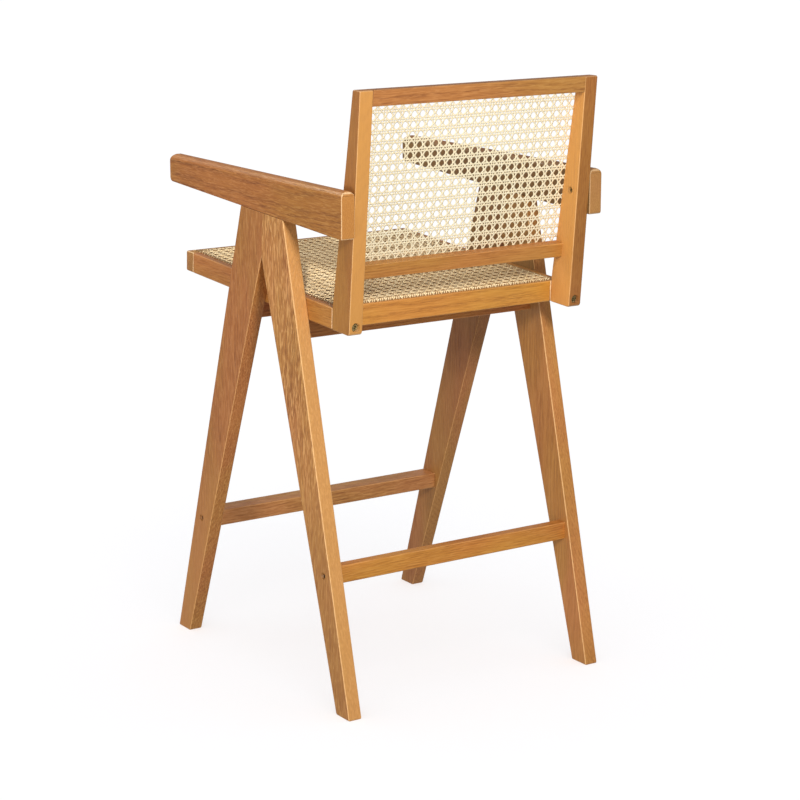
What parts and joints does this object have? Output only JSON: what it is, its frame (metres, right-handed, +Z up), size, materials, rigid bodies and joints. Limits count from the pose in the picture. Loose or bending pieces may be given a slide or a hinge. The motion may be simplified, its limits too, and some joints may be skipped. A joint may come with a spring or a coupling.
{
  "type": "bar stool",
  "caption": "Wooden bar stool with open V-leg side frames, armrests, a caned seat and back, a front footrest and a rear stretcher.",
  "frame": {"origin": "on the floor under the middle of the stool's bounding box", "axes": "+Z up, the sitter faces -Y, the sitter's left is +X"},
  "size_m": [0.5, 0.573, 0.998],
  "materials": {
    "leg_wood": "satin oil, honey brown open-grained hardwood",
    "arm_wood": "satin oil, honey brown open-grained hardwood",
    "rail_wood": "satin oil, honey brown open-grained hardwood",
    "seat_wood": "satin oil, honey brown open-grained hardwood",
    "back_wood": "satin oil, honey brown open-grained hardwood",
    "panel_wood": "stained thin plywood",
    "dowel_wood": "plain turned beech",
    "cane": "natural woven cane, semi-gloss strands",
    "spline": "natural reed spline",
    "bolt_metal": "aged brass-plated cross-recess bolt heads",
    "nut_metal": "plain zinc-plated steel"
  },
  "bodies": {
    "root": {"left_front_leg": "leg_wood", "left_rear_leg": "leg_wood", "right_front_leg": "leg_wood", "right_rear_leg": "leg_wood", "left_armrest": "arm_wood", "right_armrest": "arm_wood", "leg_joint_dowels": "dowel_wood", "armrest_dowels": "dowel_wood", "front_footrest": "rail_wood", "footrest_dowels": "dowel_wood", "footrest_bolts": "bolt_metal", "footrest_barrel_nuts": "nut_metal", "rear_stretcher": "rail_wood", "stretcher_dowels": "dowel_wood", "stretcher_bolts": "bolt_metal", "stretcher_barrel_nuts": "nut_metal", "front_cross_rail": "rail_wood", "rear_cross_rail": "rail_wood", "cross_rail_dowels": "dowel_wood", "seat_front_rail": "seat_wood", "seat_rear_rail": "seat_wood", "seat_left_rail": "seat_wood", "seat_right_rail": "seat_wood", "seat_frame_dowels": "dowel_wood", "seat_screws": "nut_metal", "seat_support_panel": "panel_wood", "seat_cane": "cane", "seat_splines": "spline", "left_back_stile": "back_wood", "right_back_stile": "back_wood", "back_top_rail": "back_wood", "back_lower_rail": "back_wood", "back_rail_dowels": "dowel_wood", "back_cane": "cane", "back_splines": "spline", "stile_bolts": "bolt_metal", "stile_barrel_nuts": "nut_metal", "arm_bolts": "bolt_metal", "arm_threaded_inserts": "nut_metal"}
  },
  "joints": []
}
